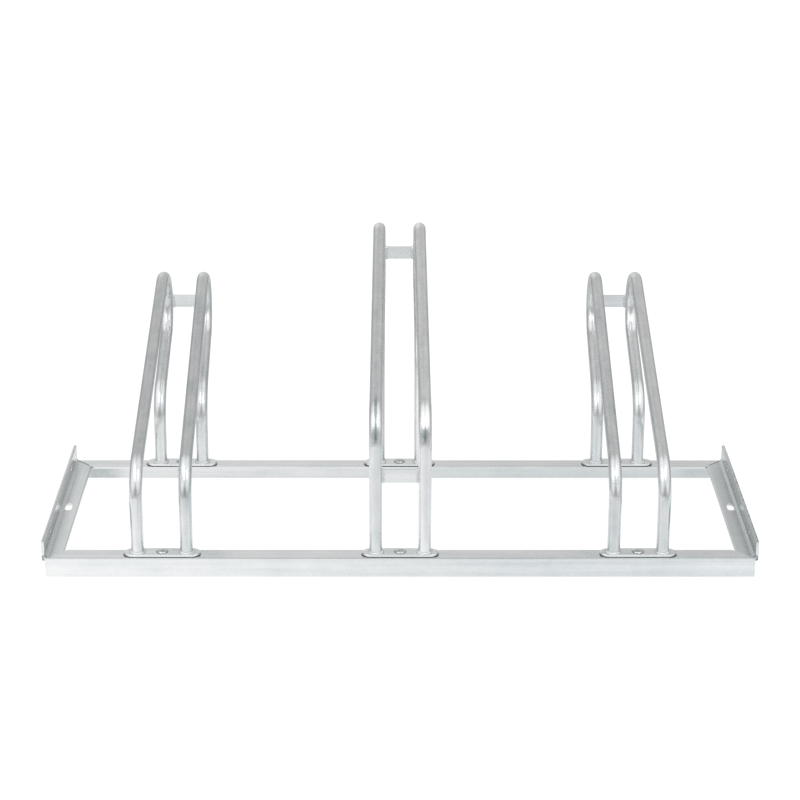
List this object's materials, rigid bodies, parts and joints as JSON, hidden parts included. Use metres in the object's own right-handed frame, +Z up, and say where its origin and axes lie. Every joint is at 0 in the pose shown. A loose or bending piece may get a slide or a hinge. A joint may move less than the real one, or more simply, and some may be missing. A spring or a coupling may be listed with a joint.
{
  "type": "floor bike rack",
  "caption": "Low floor rack of galvanised steel: bent tube hoops on an angle bar frame hold each bike by its front wheel, alternately low and high.",
  "frame": {"origin": "on the ground under the middle of the whole rack, hoops included", "axes": "+X along the row, +Y away from the side that the bikes come in from, +Z up"},
  "size_m": [1.05, 0.5549, 0.3979],
  "materials": {
    "galvanised_steel": "hot-dip galvanised, satin, cool light grey with a faint mottle",
    "zinc_plated_fasteners": "bright zinc plated"
  },
  "bodies": {
    "root": {"front_rail": "galvanised_steel", "rear_rail": "galvanised_steel", "left_end_bar": "galvanised_steel", "right_end_bar": "galvanised_steel", "left_holder_left_hoop": "galvanised_steel", "left_holder_right_hoop": "galvanised_steel", "left_holder_front_foot": "galvanised_steel", "left_holder_rear_foot": "galvanised_steel", "left_holder_top_strap": "galvanised_steel", "centre_holder_left_hoop": "galvanised_steel", "centre_holder_right_hoop": "galvanised_steel", "centre_holder_front_foot": "galvanised_steel", "centre_holder_rear_foot": "galvanised_steel", "centre_holder_top_strap": "galvanised_steel", "centre_holder_lower_strap": "galvanised_steel", "right_holder_left_hoop": "galvanised_steel", "right_holder_right_hoop": "galvanised_steel", "right_holder_front_foot": "galvanised_steel", "right_holder_rear_foot": "galvanised_steel", "right_holder_top_strap": "galvanised_steel", "mushroom_bolts": "zinc_plated_fasteners", "flat_washers": "zinc_plated_fasteners", "hex_nuts": "zinc_plated_fasteners"}
  },
  "joints": []
}
